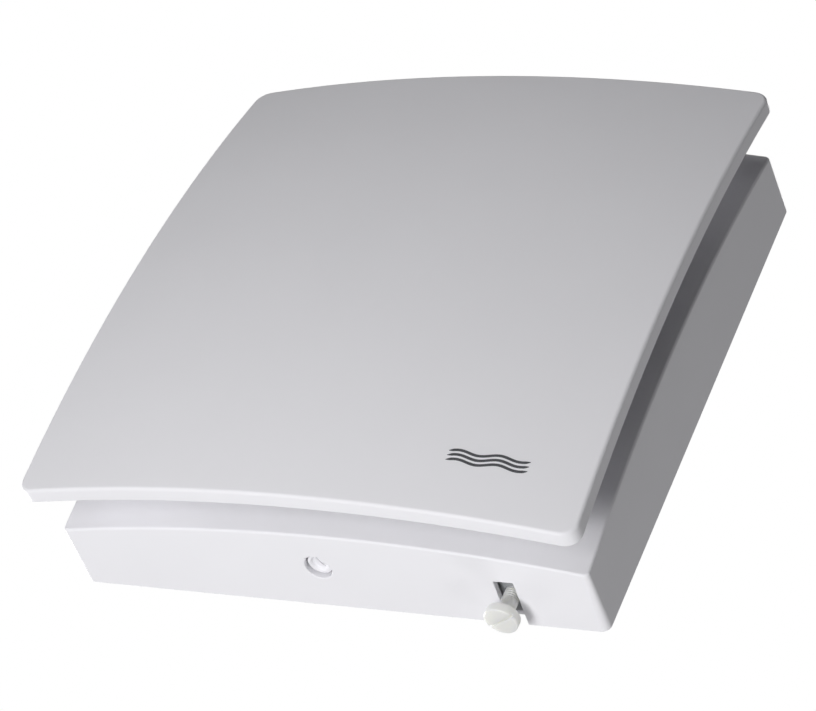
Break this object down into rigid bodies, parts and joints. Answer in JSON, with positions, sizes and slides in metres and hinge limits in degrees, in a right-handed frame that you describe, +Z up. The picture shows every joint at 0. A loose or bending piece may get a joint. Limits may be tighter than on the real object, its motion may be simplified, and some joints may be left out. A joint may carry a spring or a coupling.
{
  "type": "heat recovery unit",
  "caption": "Square wall-mounted room-side heat recovery unit with a crowned front panel, edge air gaps, a shutter knob and a round duct spigot.",
  "frame": {"origin": "centre of the duct in the plane of the wall, at the back of the wall plate", "axes": "+Y into the wall along the duct, +Z up as installed, +X to the right seen from the room; the room is towards -Y"},
  "size_m": [0.25, 0.1268, 0.255],
  "materials": {
    "white_plastic": "satin",
    "milky_nylon": "satin",
    "grey_plastic": "satin",
    "black_plastic": "satin",
    "dark_badge": "satin",
    "ceramic": "matte",
    "foam": "matte",
    "filter_fleece": "matte",
    "rubber": "matte",
    "steel": "satin",
    "copper_and_core": "satin",
    "magnet": "matte",
    "circuit_board": "satin",
    "terminal_green": "satin"
  },
  "bodies": {
    "base": {"wall_plate": "white_plastic", "duct_spigot": "white_plastic", "flange_gasket": "foam", "spigot_seal": "rubber", "regenerator_core": "ceramic", "core_sleeve": "foam", "core_retainer": "grey_plastic", "fan_frame": "black_plastic", "motor_stator": "copper_and_core", "bearing_rear": "steel", "bearing_front": "steel", "housing_shell": "white_plastic", "filter_frame": "grey_plastic", "filter_mat": "filter_fleece", "control_box": "grey_plastic", "control_lid": "grey_plastic", "control_board": "circuit_board", "terminal_block": "terminal_green", "cable_grommet": "rubber", "motor_lead": "black_plastic", "fan_screw_1": "steel", "post_socket_1": "grey_plastic", "fan_screw_2": "steel", "post_socket_2": "grey_plastic", "fan_screw_3": "steel", "post_socket_3": "grey_plastic", "fan_screw_4": "steel", "post_socket_4": "grey_plastic", "guide_pin_1": "steel", "guide_pin_2": "steel", "guide_pin_3": "steel", "lid_screw_1": "steel", "lid_screw_2": "steel"},
    "rotor": {"impeller": "black_plastic", "rotor_shaft": "steel", "rotor_magnet": "magnet"},
    "shutter": {"shutter_plate": "white_plastic", "shutter_seal": "foam"},
    "knob": {"thumb_knob": "milky_nylon"},
    "lock": {"lock_screw": "white_plastic"},
    "panel": {"front_panel": "white_plastic", "sound_mat": "foam", "badge": "dark_badge", "panel_post_1": "white_plastic", "panel_post_2": "white_plastic", "panel_post_3": "white_plastic", "panel_post_4": "white_plastic"}
  },
  "joints": [
    {"name": "impeller_spin", "type": "hinge", "parent": "base", "child": "rotor", "pos_m": [0, 0, 0], "axis": [0, -1, 0], "continuous": true},
    {"name": "shutter_slide", "type": "slide", "parent": "base", "child": "shutter", "axis": [0, -1, 0], "range_m": [-0.0048, 0.0065]},
    {"name": "knob_turn", "type": "hinge", "parent": "shutter", "child": "knob", "pos_m": [0.0818, -0.013, -0.128], "axis": [0, 0, 1], "range_deg": [-180, 180]},
    {"name": "lock_turn", "type": "hinge", "parent": "base", "child": "lock", "pos_m": [0, -0.0222, -0.115], "axis": [0, 0, 1], "range_deg": [0, 90]},
    {"name": "panel_pull_off", "type": "slide", "parent": "base", "child": "panel", "axis": [0, -1, 0], "range_m": [0, 0.05]}
  ]
}
